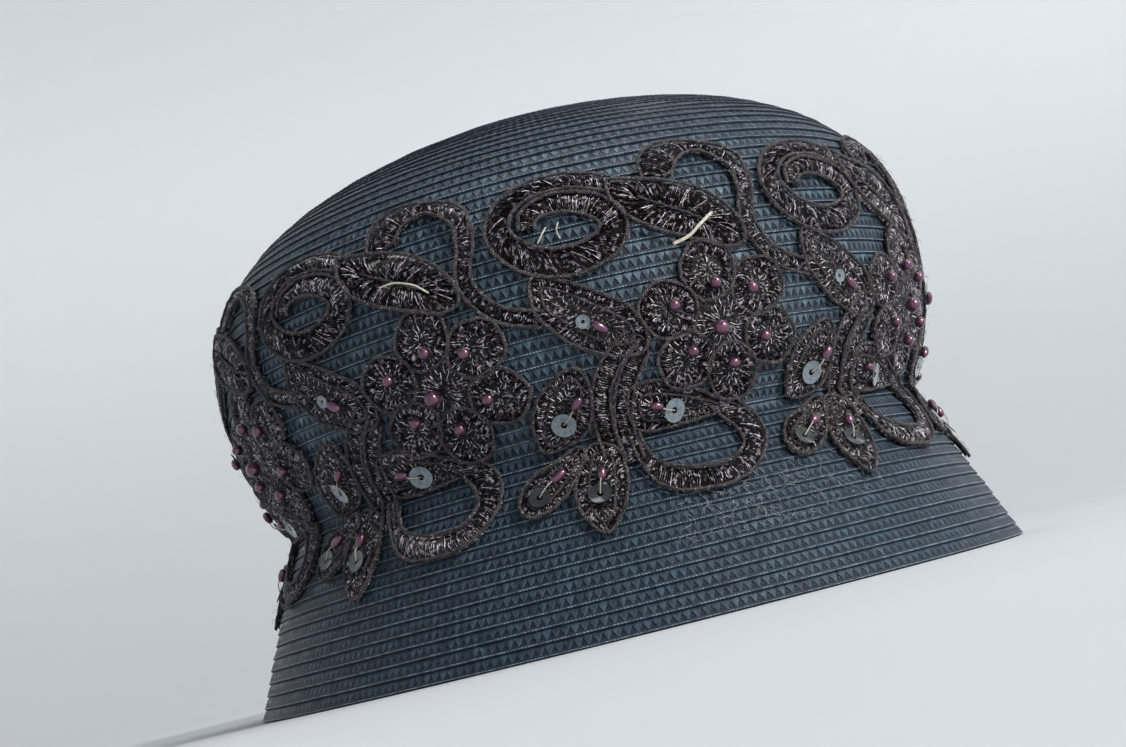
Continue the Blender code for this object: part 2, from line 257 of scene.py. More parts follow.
class Shading:
    """Adds nodes to a group's or a material's tree, wired as they are made."""

    def __init__(self, tree, material=None):
        self.tree = tree
        self.material = material

    def add(self, kind, inputs=(), **settings):
        node = self.tree.nodes.new(kind)
        for key, value in settings.items():
            setattr(node, key, value)
        for key, value in dict(inputs).items():
            socket = node.inputs[key]
            if isinstance(value, bpy.types.NodeSocket):
                self.tree.links.new(value, socket)
            else:
                socket.default_value = value
        return node

    def math(self, operation, *values, clamp=False):
        inputs = dict(enumerate(values))
        return self.add("ShaderNodeMath", inputs, operation=operation, use_clamp=clamp).outputs[0]

    def times(self, first, second):
        return self.math("MULTIPLY", first, second)

    def plus(self, first, second):
        return self.math("ADD", first, second)

    def minus(self, first, second):
        return self.math("SUBTRACT", first, second)

    def place(self):
        return self.add("ShaderNodeTexCoord").outputs["Object"]

    def uv(self):
        return self.add("ShaderNodeUVMap", uv_map="UVMap").outputs[0]

    def mix(self, share, first, second):
        node = self.add("ShaderNodeMix", {0: share, 6: first, 7: second}, data_type="RGBA")
        return node.outputs[2]

    def noise(self, vector, scale, detail):
        node = self.add("ShaderNodeTexNoise", {"Vector": vector, "Scale": scale, "Detail": detail})
        return node.outputs["Fac"]

    def glint_flecks(self, fineness, amount):
        """The painted glint fleck and tone of a group of glint flecks."""
        given = {"Fineness": fineness, "Amount": amount}
        return self.add("ShaderNodeGroup", given, node_tree=GLINT_FLECKS).outputs[:2]

    def stretched(self, vector, scale):
        return self.add("ShaderNodeMapping", {"Vector": vector, "Scale": scale}).outputs[0]

    def split(self, vector):
        return self.add("ShaderNodeSeparateXYZ", {0: vector}).outputs

    def spread(self, value, low, high):
        """The value's stretch from low to high, eased into 0 to 1."""
        node = self.add(
            "ShaderNodeMapRange",
            {"Value": value, "From Min": low, "From Max": high},
            interpolation_type="SMOOTHSTEP",
        )
        return node.outputs[0]

    def wire(self, colour, roughness, height=None, bump_mm=None):
        """Joins changing values to the material's shader, and returns the material."""
        shader = self.tree.nodes["Principled BSDF"]
        self.tree.links.new(colour, shader.inputs["Base Color"])
        self.tree.links.new(roughness, shader.inputs["Roughness"])
        if height is not None:
            bump = self.add("ShaderNodeBump", {"Height": height, "Distance": bump_mm * MM, "Strength": 1})
            self.tree.links.new(bump.outputs[0], shader.inputs["Normal"])
        return self.material


def shader_group(name, inputs, outputs):
    """An empty node group with named float sockets, and its input and output nodes."""
    group = bpy.data.node_groups.new(name, "ShaderNodeTree")
    for way, labels in (("INPUT", inputs), ("OUTPUT", outputs)):
        for label in labels:
            group.interface.new_socket(label, in_out=way, socket_type="NodeSocketFloat")
    return group, group.nodes.new("NodeGroupInput"), group.nodes.new("NodeGroupOutput")


# Beads along a course's lip for each knot, and the courses where a band of painted sheen comes in and goes out
BEADS_PER_KNOT = 2.6
SHEEN_BAND_IN = (12, 19)
SHEEN_BAND_OUT = (38, 31)


def plait_group():
    """Plaited straw. Along counts knots and Course counts courses: a beaded cord runs along each
    course's lip, and folded strands hang from the lap above it as triangles between pits.
    The material paints strands and lips as highlights and pits as shade."""
    group, given, result = shader_group("straw plait", ("Along", "Course"), ("Strand", "Pit", "Edge", "Sheen_Band"))
    s = Shading(group)
    along = given.outputs["Along"]
    course = s.math("FRACT", given.outputs["Course"])
    lane = s.math("FLOOR", given.outputs["Course"])
    along = s.plus(along, s.times(s.math("SINE", s.times(lane, 2.4)), 0.12))
    fold = s.times(s.math("ABSOLUTE", s.minus(s.math("FRACT", along), 0.5)), 2)
    up = s.math("DIVIDE", s.minus(course, 0.22), 0.66, clamp=True)
    above = s.minus(up, fold)
    # The courses of a band that gets a painted sheen.
    sheen_band = s.times(s.spread(lane, *SHEEN_BAND_IN), s.spread(lane, *SHEEN_BAND_OUT))
    knot = s.add("ShaderNodeCombineXYZ", {0: s.math("FLOOR", s.plus(along, 0.5)), 1: lane}).outputs[0]
    chance = s.add("ShaderNodeTexWhiteNoise", {"Vector": knot}, noise_dimensions="2D").outputs["Value"]
    strand = s.times(s.spread(above, -0.06, 0.12), s.plus(0.25, s.times(chance, 0.75)))
    pit = s.times(s.spread(above, -0.04, -0.3), s.spread(up, 0.06, 0.34))
    edge = s.spread(s.math("ABSOLUTE", s.minus(course, 0.105)), 0.075, 0.03)
    slant = s.plus(s.times(along, BEADS_PER_KNOT), s.times(course, 2))
    bead = s.math("ABSOLUTE", s.math("SINE", s.times(slant, math.pi)))
    edge = s.times(edge, s.plus(0.15, s.times(bead, 0.85)))
    for value, socket in zip((strand, pit, edge, sheen_band), result.inputs):
        group.links.new(value, socket)
    return group


def glint_fleck_group():
    """Glint flecks: bright specks scattered over a surface, painted glints, and a soft tone under them."""
    group, given, result = shader_group("thread flecks", ("Fineness", "Amount"), ("Glint_Fleck", "Tone"))
    s = Shading(group)
    place = s.place()
    fine = s.noise(place, given.outputs["Fineness"], 3)
    least = s.minus(0.78, s.times(given.outputs["Amount"], 0.22))
    glint_fleck = s.spread(fine, least, s.plus(least, 0.07))
    group.links.new(glint_fleck, result.inputs["Glint_Fleck"])
    group.links.new(s.noise(place, 260, 3), result.inputs["Tone"])
    return group


PLAIT = plait_group()
GLINT_FLECKS = glint_fleck_group()


def new_material(name, **settings):
    """The shading of a new Principled material, with constants on the shader's own sockets."""
    made = bpy.data.materials.new(name)
    made.use_nodes = True
    s = Shading(made.node_tree, made)
    for key, value in settings.items():
        s.tree.nodes["Principled BSDF"].inputs[key.replace("_", " ")].default_value = value
    return s


def straw_material():
    """Navy straw: painted shade in the pits, painted steel blue highlights on the strands and each course's
    beaded lip, painted glints, and a little dust with painted sheen on upward faces.
    """
    soft = {"Specular_IOR_Level": 0.32, "Coat_Weight": 0.06, "Coat_Roughness": 0.2}
    s = new_material("navy_straw_braid", **soft)
    uv = s.uv()
    along, course, _ = s.split(uv)
    plait = s.add("ShaderNodeGroup", {"Along": along, "Course": course}, node_tree=PLAIT)
    glint_fleck, tone = s.glint_flecks(1500, 0.4)
    fibre = s.noise(s.stretched(uv, (2.2, 16, 1)), 1, 3)
    shade = s.spread(s.noise(uv, 1.3, 1), 0.3, 0.7)
    strand, pit, edge, sheen_band = plait.outputs
    # The strands painted paler steel blue: a painted highlight, paler still in the painted sheen band.
    pale = s.mix(sheen_band, (0.05, 0.088, 0.125, 1), (0.115, 0.185, 0.235, 1))
    ground = s.mix(fibre, (0.0045, 0.0095, 0.018, 1), (0.015, 0.03, 0.05, 1))
    lit = s.times(strand, s.plus(0.25, s.times(shade, 0.75)))
    colour = s.mix(lit, ground, pale)
    # The pits painted near black: painted shade, deeper in the painted sheen band.
    depth = s.plus(0.48, s.times(sheen_band, 0.36))
    colour = s.mix(s.times(pit, depth), colour, (0.0015, 0.003, 0.007, 1))
    # Each course's beaded lip painted pale blue-grey: a painted highlight.
    lip = s.times(edge, s.plus(0.3, s.times(shade, 0.7)))
    colour = s.mix(lip, colour, (0.25, 0.33, 0.38, 1))
    # Upward faces paler in patches: a little dust, and a painted sheen from above.
    up = s.split(s.add("ShaderNodeNewGeometry").outputs["Normal"])[2]
    dust_and_top_sheen = s.times(s.spread(up, 0.35, 1), s.spread(tone, 0.42, 0.72))
    colour = s.mix(s.times(dust_and_top_sheen, 0.1), colour, (0.34, 0.37, 0.4, 1))
    # Bright specks: painted glints.
    colour = s.mix(s.times(glint_fleck, 0.3), colour, (0.26, 0.32, 0.36, 1))
    roughness = s.minus(0.52, s.times(s.math("MAXIMUM", strand, edge), 0.2))
    height = s.plus(s.minus(s.times(strand, 0.5), pit), s.times(edge, 0.9))
    height = s.plus(height, s.times(fibre, 0.5))
    return s.wire(colour, roughness, height, 0.3)


def satin_material():
    """Glossy black-brown thread: painted shade between the stitches, painted broken glints and glint flecks
    along them.
    """
    s = new_material("black_satin_thread", Specular_IOR_Level=0.55)
    uv = s.uv()
    stitches = s.split(uv)[0]
    number = s.math("FLOOR", stitches)
    chance = s.add("ShaderNodeTexWhiteNoise", {"W": number}, noise_dimensions="1D").outputs["Value"]
    crest = s.spread(s.math("ABSOLUTE", s.minus(s.math("FRACT", stitches), 0.75)), 0.42, 0.12)
    dashes = s.noise(s.stretched(uv, (1.7, 5, 1)), 1, 2)
    glint_fleck, _ = s.glint_flecks(1000, 0.95)
    glint = s.times(s.spread(s.plus(dashes, s.times(chance, 0.16)), 0.66, 0.76), crest)
    # Crests in the thread's colour, near black between the stitches: painted shade.
    colour = s.mix(s.times(crest, chance), (0.0015, 0.0012, 0.0014, 1), (0.024, 0.018, 0.02, 1))
    # Broken dashes along the crests: painted glints.
    colour = s.mix(glint, colour, (0.3, 0.26, 0.27, 1))
    # Bright specks: painted glints.
    colour = s.mix(s.times(glint_fleck, 0.7), colour, (0.62, 0.58, 0.6, 1))
    roughness = s.minus(0.44, s.times(chance, 0.16))
    return s.wire(colour, roughness, s.plus(crest, s.times(dashes, 0.4)), 0.22)


def cord_material():
    """Brown-black cord of two twisted plies, painted shade in their groove, soft and worn along the top, with
    painted glints.
    """
    s = new_material("black_twisted_cord", Specular_IOR_Level=0.2, Sheen_Weight=0.04)
    along, around, _ = s.split(s.uv())
    ply = s.plus(s.times(along, 1 / CORD_TWIST), s.times(around, 2))
    strands = s.math("ABSOLUTE", s.math("SINE", s.times(ply, math.pi * 3)))
    glint_fleck, _ = s.glint_flecks(1900, 0.72)
    worn = s.spread(s.noise(s.place(), 700, 3), 0.35, 0.68)
    # Plies in the cord's colour, uneven where worn, near black in their groove: painted shade.
    shown = s.times(s.spread(strands, 0.25, 0.85), s.plus(0.3, s.times(worn, 0.7)))
    colour = s.mix(shown, (0.0015, 0.0012, 0.0015, 1), (0.135, 0.115, 0.12, 1))
    # Bright specks: painted glints.
    colour = s.mix(s.times(glint_fleck, 0.6), colour, (0.62, 0.58, 0.59, 1))
    height = s.plus(strands, s.times(worn, 0.6))
    return s.wire(colour, s.plus(0.48, s.times(worn, 0.3)), height, 0.2)


def ground_material():
    """The lace's dark knotted netting between stitches and beads, with painted shade between knots and painted
    glints.
    """
    s = new_material("black_lace_ground", Specular_IOR_Level=0.3)
    knots = s.add("ShaderNodeTexVoronoi", {"Vector": s.place(), "Scale": 1100}, feature="F1")
    knot = s.spread(knots.outputs["Distance"], 0.55, 0.15)
    glint_fleck, tone = s.glint_flecks(1300, 0.95)
    # Knots in the thread's colour, near black between them: painted shade.
    colour = s.mix(knot, (0.001, 0.0009, 0.001, 1), (0.014, 0.011, 0.012, 1))
    # Bright specks: painted glints.
    colour = s.mix(s.times(glint_fleck, 0.8), colour, (0.34, 0.3, 0.31, 1))
    roughness = s.plus(0.32, s.times(tone, 0.3))
    return s.wire(colour, roughness, s.plus(knot, glint_fleck), 0.35)


def clouded_material(name, low, high, scale, detail, rough, bump_mm=None, **settings):
    """Two colours in soft clouds, rougher where they are pale."""
    s = new_material(name, **settings)
    cloud = s.noise(s.place(), scale, detail)
    height = cloud if bump_mm else None
    return s.wire(s.mix(cloud, low, high), s.plus(rough[0], s.times(cloud, rough[1])), height, bump_mm)


def sequin_material(name, low, high):
    """A thin plastic disc with fine scratches."""
    gloss = {"Coat_Weight": 1, "Coat_Roughness": 0.06}
    return clouded_material(name, low, high, 700, 3, (0.16, 0.25), 0.05, **gloss)


def thread_material(name, low, high):
    """Loose thread or straw, grained; in the glinting thread, pale fibres as painted glints."""
    s = new_material(name, Specular_IOR_Level=0.4)
    grain = s.spread(s.noise(s.place(), 1400, 2), 0.32, 0.68)
    return s.wire(s.mix(grain, low, high), s.plus(0.5, s.times(grain, 0.3)), grain, 0.08)


def floor_material():
    """Pale matt studio floor with the faintest mottling, paler up the wall: painted light on the wall."""
    s = new_material("pale_floor", Specular_IOR_Level=0.2)
    place = s.place()
    mottle = s.noise(place, 6, 4)
    # Paler as it rises into the wall: painted light on the wall.
    rise = s.spread(s.split(place)[2], -0.15, 0.75)
    pale = s.mix(mottle, (0.5, 0.52, 0.55, 1), (0.54, 0.56, 0.58, 1))
    colour = s.mix(rise, pale, (0.9, 0.92, 0.94, 1))
    return s.wire(colour, s.plus(0.8, s.times(mottle, 0.1)))


# Braided crown and brim

# One course, from the root of its lower lip to the next lip: shares of a course up, lifts in mm, and
# how far the plait's folds stand out at every other column
COURSE_FORM = (
    (0, -0.45, 0),
    (-0.08, 0.02, 0.02),
    (-0.02, 0.25, 0.05),
    (0.14, 0.16, 0.02),
    (0.38, -0.02, 0.09),
    (0.7, -0.12, -0.12),
)
LIP = 0.08
COURSES = round(SURFACE_LENGTH / COURSE)
COURSE_PITCH = SURFACE_LENGTH / COURSES

# The braid's rings: the courses each one takes and the plait's knots round it. The top one has the
# same length of knot in every course instead.
BRAID_RINGS = (
    {"name": "braided_brim", "first": 0, "last": 14, "knots": 300},
    {"name": "braided_band_low", "first": 14, "last": 24, "knots": 284},
    {"name": "braided_band_high", "first": 24, "last": 35, "knots": 284},
    {"name": "braided_crown_side", "first": 35, "last": 50, "knots": 232},
    {"name": "braided_crown_top", "first": 50, "last": COURSES, "knots": 0},
)
TOP_COLUMNS = 260
KNOT_LENGTH = 0.0026
FEWEST_KNOTS = 6

# In mm: the lift of a ring's last row, tucked under the next ring, and the step of the inner courses
TUCK_LIFT = -0.45
INNER_STEP = 0.25

# A fold's depth varies between two shares, and the unevenness fades near the crown's tip, in metres
FOLD_SHARES = (0.4, 1.25)
STEADY_RADIUS = 0.02


def braid_ring(row, material):
    """One closed ring of the wall: lapped and plaited courses outside, shallower ones inside."""
    stations = []
    for number in range(row["first"], row["last"]):
        middle = float(np.interp((number + 0.4) * COURSE_PITCH, ALONG, RADIUS))
        knots = row["knots"] or max(FEWEST_KNOTS, round(math.tau * middle / KNOT_LENGTH))
        for up, lift, fold in COURSE_FORM:
            course = number + max(0, up + LIP)
            stations.append((number + up, lift, fold if row["knots"] else 0, course, knots))
    stations.append((row["last"], TUCK_LIFT, 0, row["last"], knots))
    for number in range(row["last"], row["first"] - 1, -1):
        stations.append((number, -WALL / MM - INNER_STEP * (number % 2), 0, number, knots))
    up, lift, fold, course, knots = np.array(stations).T[..., None]
    distance = np.maximum(up * COURSE_PITCH, 0)
    columns = 2 * row["knots"] or TOP_COLUMNS
    turn = np.linspace(-math.pi, math.pi, columns + 1)[None, :]
    parity = np.where(np.arange(columns + 1) % 2 == 0, 1, -1)[None, :]
    uneven = 0.07 * np.sin(turn * 9 + course * 1.7) + 0.05 * np.sin(turn * 23 + course * 2.9)
    folds = rng.uniform(*FOLD_SHARES, (len(stations), columns + 1))
    folds[:, -1] = folds[:, 0]
    steady = np.clip(np.interp(distance, ALONG, RADIUS) / STEADY_RADIUS, 0, 1)
    spots = on_hat(turn, distance, (lift + uneven * steady + fold * parity * folds) * MM)
    spots[..., 2] = np.maximum(spots[..., 2], 0)
    around = (spots, knots * turn / math.tau, course)
    spots, along, course = (np.concatenate([given, given[:1]]) for given in around)
    piece = laid_grid(row["name"], spots, along, course, closed=True)
    point_outwards(piece)
    finish_piece(piece, material, "navy_straw_braid", "crown_and_brim")


# The braid's start: a small coil on the crown's tip, from its hidden inner edge to its lip, as shares
# of the way across and lifts in mm
COIL_FORM = ((0, -0.1), (0.3, 0.3), (0.7, 0.42), (0.94, 0.46), (1.04, 0.26))
COIL_TURNS = 3.2
COIL_STEPS = 200
COIL_EYE = 0.0005
COIL_WALL = 0.0006


def braid_start(material):
    """The coil that the sewer began with, its end tucked down."""
    turns = np.linspace(0, COIL_TURNS, COIL_STEPS)[None, :]
    across, lift = np.array(COIL_FORM).T[..., None]
    out = COIL_EYE + (turns + across - 1).clip(0) * COURSE
    tucked = np.clip((COIL_TURNS - turns) * 4, 0, 1)
    spots = on_hat(-turns * math.tau, SURFACE_LENGTH - out, (lift * tucked - 0.3 * (1 - tucked)) * MM)
    rounds = np.gradient(turns[0]) * math.tau * np.maximum(turns[0] - 0.5, 0.2)
    along = np.cumsum(rounds) * COURSE / KNOT_LENGTH
    piece = laid_grid("braid_start_coil", spots, along[None, :], 1 - np.clip(across, 0, 0.98))
    wall = piece.modifiers.new("wall", "SOLIDIFY")
    wall.thickness = COIL_WALL
    wall.offset = -1
    bpy.ops.object.modifier_apply(modifier=wall.name)
    point_outwards(piece)
    finish_piece(piece, material, "navy_straw_braid")


# Lace: lines on the chart. Rows of a petal's middle and its pearl's are from the flower's middle.

FLOWER_MIDDLE = np.array((-1, 47))

PETALS = (
    ((0.5, 13.5), (1, 10.2)),
    ((12.5, 8), (10, 7.6)),
    ((14.6, -4.3), (12, -3.9)),
    ((3.3, -11.3), (3, -8.9)),
    ((-8.6, -6.5), (-7.2, -4.4)),
    ((-10.8, 6), (-9.8, 6.8)),
)
PETAL_HALF_LENGTH = 7.2
PETAL_HALF_WIDTH = 6.7

# The netting round the flower's middle, and the part of a leaf's length that its middle line takes
FLOWER_EYE = {"off": (2.2, 0.4), "half_length": 10, "half_width": 8.5, "lift": 1.5}
LEAF_AXIS_SHARE = 0.55

BIG_LEAF = (
    (-18.4, 86.2), (-12, 85.2), (-7, 84), (-2, 82.4), (4, 79), (8.5, 74.5), (10.8, 70),
    (10.3, 66), (6, 65), (0, 67.2), (-5, 69.5), (-11, 72.5), (-16, 76.5), (-18.9, 81.5),
)
BEADED_LEAVES = (
    (
        (28, 67.5), (26.6, 63), (27, 58), (29.4, 54.5), (32.4, 50.6), (36, 48), (42, 45.2),
        (48.5, 44.5), (50.6, 48), (49.6, 52), (47.5, 56), (43.5, 59), (39, 62.2), (34, 65),
    ),
    (
        (20.2, 25), (18.6, 30), (19.1, 34.5), (20.8, 38), (23.5, 41), (27.5, 43.6),
        (32.5, 44.6), (34.6, 40), (34, 34), (31.5, 29), (27, 26),
    ),
    (
        (43.2, 35.5), (42.6, 30), (44.5, 25), (50, 23.8), (57, 24.2), (64, 25), (72, 26),
        (66, 30), (60, 33.5), (53, 36.8), (47, 37.4),
    ),
    (
        (28.5, 24.5), (21, 21.5), (15.5, 19.5), (12.2, 15.5), (11.6, 11.5), (14.5, 9),
        (19, 9.8), (23.5, 12.8), (26.5, 17), (29.5, 21),
    ),
    (
        (31.5, 24), (27, 17.5), (25.2, 11.5), (26.8, 5), (30.6, 0.5), (34.6, 4), (37.3, 9.5),
        (38.4, 15), (37.8, 21.5),
    ),
)
ARCH = (
    (
        (-10.2, 85), (-9.8, 90), (-6.8, 93.4), (-0.4, 95), (6.2, 93.6), (12, 91.6), (15.9, 88),
        (16.4, 84.5), (15.8, 81),
    ),
    (
        (-5.2, 84.6), (-2.4, 85.8), (-0.5, 88.6), (2.5, 90.2), (6.2, 90.6), (9.5, 88.2),
        (11.8, 85.9), (12.8, 83.6), (12.6, 80.5),
    ),
)
SCROLL = (
    (
        (-27, 24), (-26.4, 17), (-23.8, 10.2), (-19, 6.6), (-13, 5.6), (-7, 5.6), (-1.5, 7.2),
        (3.2, 10.6), (6.8, 15.4), (7.4, 20.5), (5.8, 25), (2.8, 29.5),
    ),
    (
        (-24.5, 24.5), (-23.2, 17.8), (-20, 14.2), (-14.5, 12), (-7.5, 11.2), (-2.4, 12.8),
        (0.6, 15.8), (0.4, 19.8), (-2, 23.6), (-4.6, 28.4),
    ),
)

# Ribbons along a middle line: column, row and width
STEM = (
    (15.2, 84, 4), (14.4, 78, 3.8), (13.1, 74, 3.6), (12.9, 70, 3.6), (14.2, 66.5, 3.6),
    (17, 62.6, 3.6), (21, 59.8, 3.8), (28, 57.4, 3.8),
)
TRUNK_LEFT = ((47, 49, 3.6), (41.5, 44.5, 4.4), (37.2, 38, 4.6), (36, 30, 4.6), (36.4, 20, 4.4))
TRUNK_RIGHT = ((49, 45.6, 3.6), (45, 41, 4.4), (41.8, 34, 4.6), (40.8, 27, 4.6), (41.4, 17, 4.2))
WHORL = (
    (29.2, 78.6, 3.6), (30.4, 82.2, 4.2), (36, 83.6, 4.8), (43, 82.2, 5.4), (48.6, 77.6, 6.2),
    (47, 72, 6.6), (40, 69.2, 6.8), (33, 69.6, 6.8), (26.6, 73, 6.4), (22.6, 79, 5.8), (24.6, 85, 5),
    (31, 88.6, 4.4), (39, 89, 4.2), (45, 87.6, 4.2), (50.5, 85.4, 4),
)

# Long beads, four of them tied to a sequin by its place in the next table. Angles are in degrees.
LEAF_BEADS = (
    {"middle": (40, 52.5), "slope": -42, "length": 4.8},
    {"middle": (30.6, 36.5), "slope": 50, "length": 4.3, "sequin": 0},
    {"middle": (49.5, 31.4), "slope": -15, "length": 3.8, "sequin": 1},
    {"middle": (22.2, 17.3), "slope": 33, "length": 5, "sequin": 3},
    {"middle": (32.5, 15.4), "slope": 78, "length": 4.2, "sequin": 4},
)
SEQUINS = (
    {"middle": (26.3, 32), "radius": 3, "turn": 20, "tip": 9},
    {"middle": (54.1, 29.2), "radius": 3, "turn": 5, "tip": -12},
    {"middle": (36.6, 54.6), "radius": 1.7, "turn": 60, "tip": 10},
    {"middle": (16.8, 13.4), "radius": 2.6, "turn": 200, "tip": 7, "dark": True},
    {"middle": (31, 10.4), "radius": 2.8, "turn": 90, "tip": -7, "dark": True},
)

# On the chart, in its millimetres. Curves are cut at even steps, each stretch first in a few pieces.
CURVE_STEP = 0.8
THREAD_STEP = 0.7
CURVE_PIECES = 12
RING_POINTS = 60

# Satin: a stitch's width, its ridge, how far it leans, and how round the padding is
STITCH = 0.62
STITCH_RIDGE = 0.42
STITCH_LEAN = 0.22
PADDING_POWER = 0.55

# Pale loose fibres, painted glints: the share of stitches with one, the shortest as a share of the stitch, and
# the radius
GLINT_FIBRE_SHARE = 0.36
GLINT_FIBRE_LEAST = 0.12
GLINT_FIBRE_RADIUS = 0.10

# Cords: lengths of a step and of a twist, sides, radii, and lifts over the base they edge
CORD_STEP = 0.97
CORD_TWIST = 2.6
CORD_SIDES = 6
CORD_RADIUS = 0.46
FINE_CORD_RADIUS = 0.34
RIM_CORD_LIFT = 1.15
INNER_CORD_LIFT = 0.95
RIBBON_CORD_LIFT = 1.1
LINE_CORD_LIFT = 1.2

# Netting: length of a step, how far it goes under the satin band, and lift over the base
NET_STEP = 1.6
NET_TUCK = 0.6
NET_LIFT = 0.75


def smooth_line(points, closed, step):
    """Points at even steps along a smooth curve through the given ones."""
    given = np.asarray(points, dtype=float)
    if closed:
        padded = np.concatenate([given[-1:], given, given[:2]])
    else:
        padded = np.concatenate([2 * given[:1] - given[1:2], given, 2 * given[-1:] - given[-2:-1]])
    share = np.linspace(0, 1, CURVE_PIECES, endpoint=False)[:, None]
    stretches = []
    for i in range(len(padded) - 3):
        a, b, c, d = padded[i:i + 4]
        stretches.append(
            0.5 * (2 * b + (c - a) * share + (2 * a - 5 * b + 4 * c - d) * share**2
                   + (3 * b - a - 3 * c + d) * share**3)
        )
    line = np.concatenate(stretches + [padded[-2:-1]])
    return even_steps(line, max(3, round(length_of(line) / step) + 1))


def length_of(line):
    """The length of a line on the chart."""
    return float(np.hypot(*np.diff(line[:, :2], axis=0).T).sum())


def even_steps(line, count):
    """The line again, as a number of evenly spaced points."""
    run = np.concatenate([[0], np.cumsum(np.hypot(*np.diff(line[:, :2], axis=0).T))])
    even = np.linspace(0, run[-1], count)
    return np.stack([np.interp(even, run, line[:, i]) for i in range(line.shape[1])], axis=-1)


def runs_of(line):
    """Unit vectors along a line on the chart."""
    run = np.gradient(line[:, :2], axis=0)
    return run / np.maximum(np.hypot(*run.T), TINY)[:, None]


def sides_of(line):
    """Unit vectors across a line, to its left."""
    run = runs_of(line)
    return np.stack([-run[:, 1], run[:, 0]], axis=-1)


def fibre_on(row, shares, lift):
    """A short fibre over a row of a grid, at three shares of the way across it."""
    steps = np.linspace(0, 1, len(row))
    line = np.stack([np.interp(shares, steps, row[:, i]) for i in range(3)], axis=-1)
    line[:, :2] += rng.normal(0, 0.16, (len(shares), 2))
    line[:, 2] += lift + rng.uniform(0, 0.12)
    return line


def fibre_mesh(name, lines, radius):
    """Many fine three-sided fibres as one piece, from the points along each."""
    count, steps = lines.shape[:2]
    run = np.gradient(lines, axis=1)
    run /= np.maximum(np.linalg.norm(run, axis=-1, keepdims=True), TINY)
    side = np.stack([-run[..., 1], run[..., 0], 0 * run[..., 0]], axis=-1)
    side /= np.maximum(np.linalg.norm(side, axis=-1, keepdims=True), TINY)
    up = np.cross(run, side)
    thin = (radius * np.linspace(1, 0.55, steps))[None, :, None]
    corners = np.arange(3) * math.tau / 3
    points = np.stack([lines + thin * turned(side, up, corner)[0] for corner in corners], axis=2)
    index = np.arange(count * steps * 3).reshape(count, steps, 3)
    after = np.roll(index, -1, axis=2)
    walls = np.stack([index[:, :-1], after[:, :-1], after[:, 1:], index[:, 1:]], axis=-1).reshape(-1, 4)
    ends = np.concatenate([index[:, 0, ::-1], index[:, -1]])
    mesh = bpy.data.meshes.new(name)
    mesh.from_pydata(points.reshape(-1, 3).tolist(), [], walls.tolist() + ends.tolist())
    mesh.uv_layers.new(name="UVMap")
    return added(name, mesh)


def between(first, second, share):
    """Rows of places from one line to another, at the shares given."""
    return first[:, None, :2] * (1 - share) + second[:, None, :2] * share


def lifted(flat, lifts):
    """Flat places with their lifts added."""
    return np.concatenate([flat, lifts[..., None]], axis=-1)


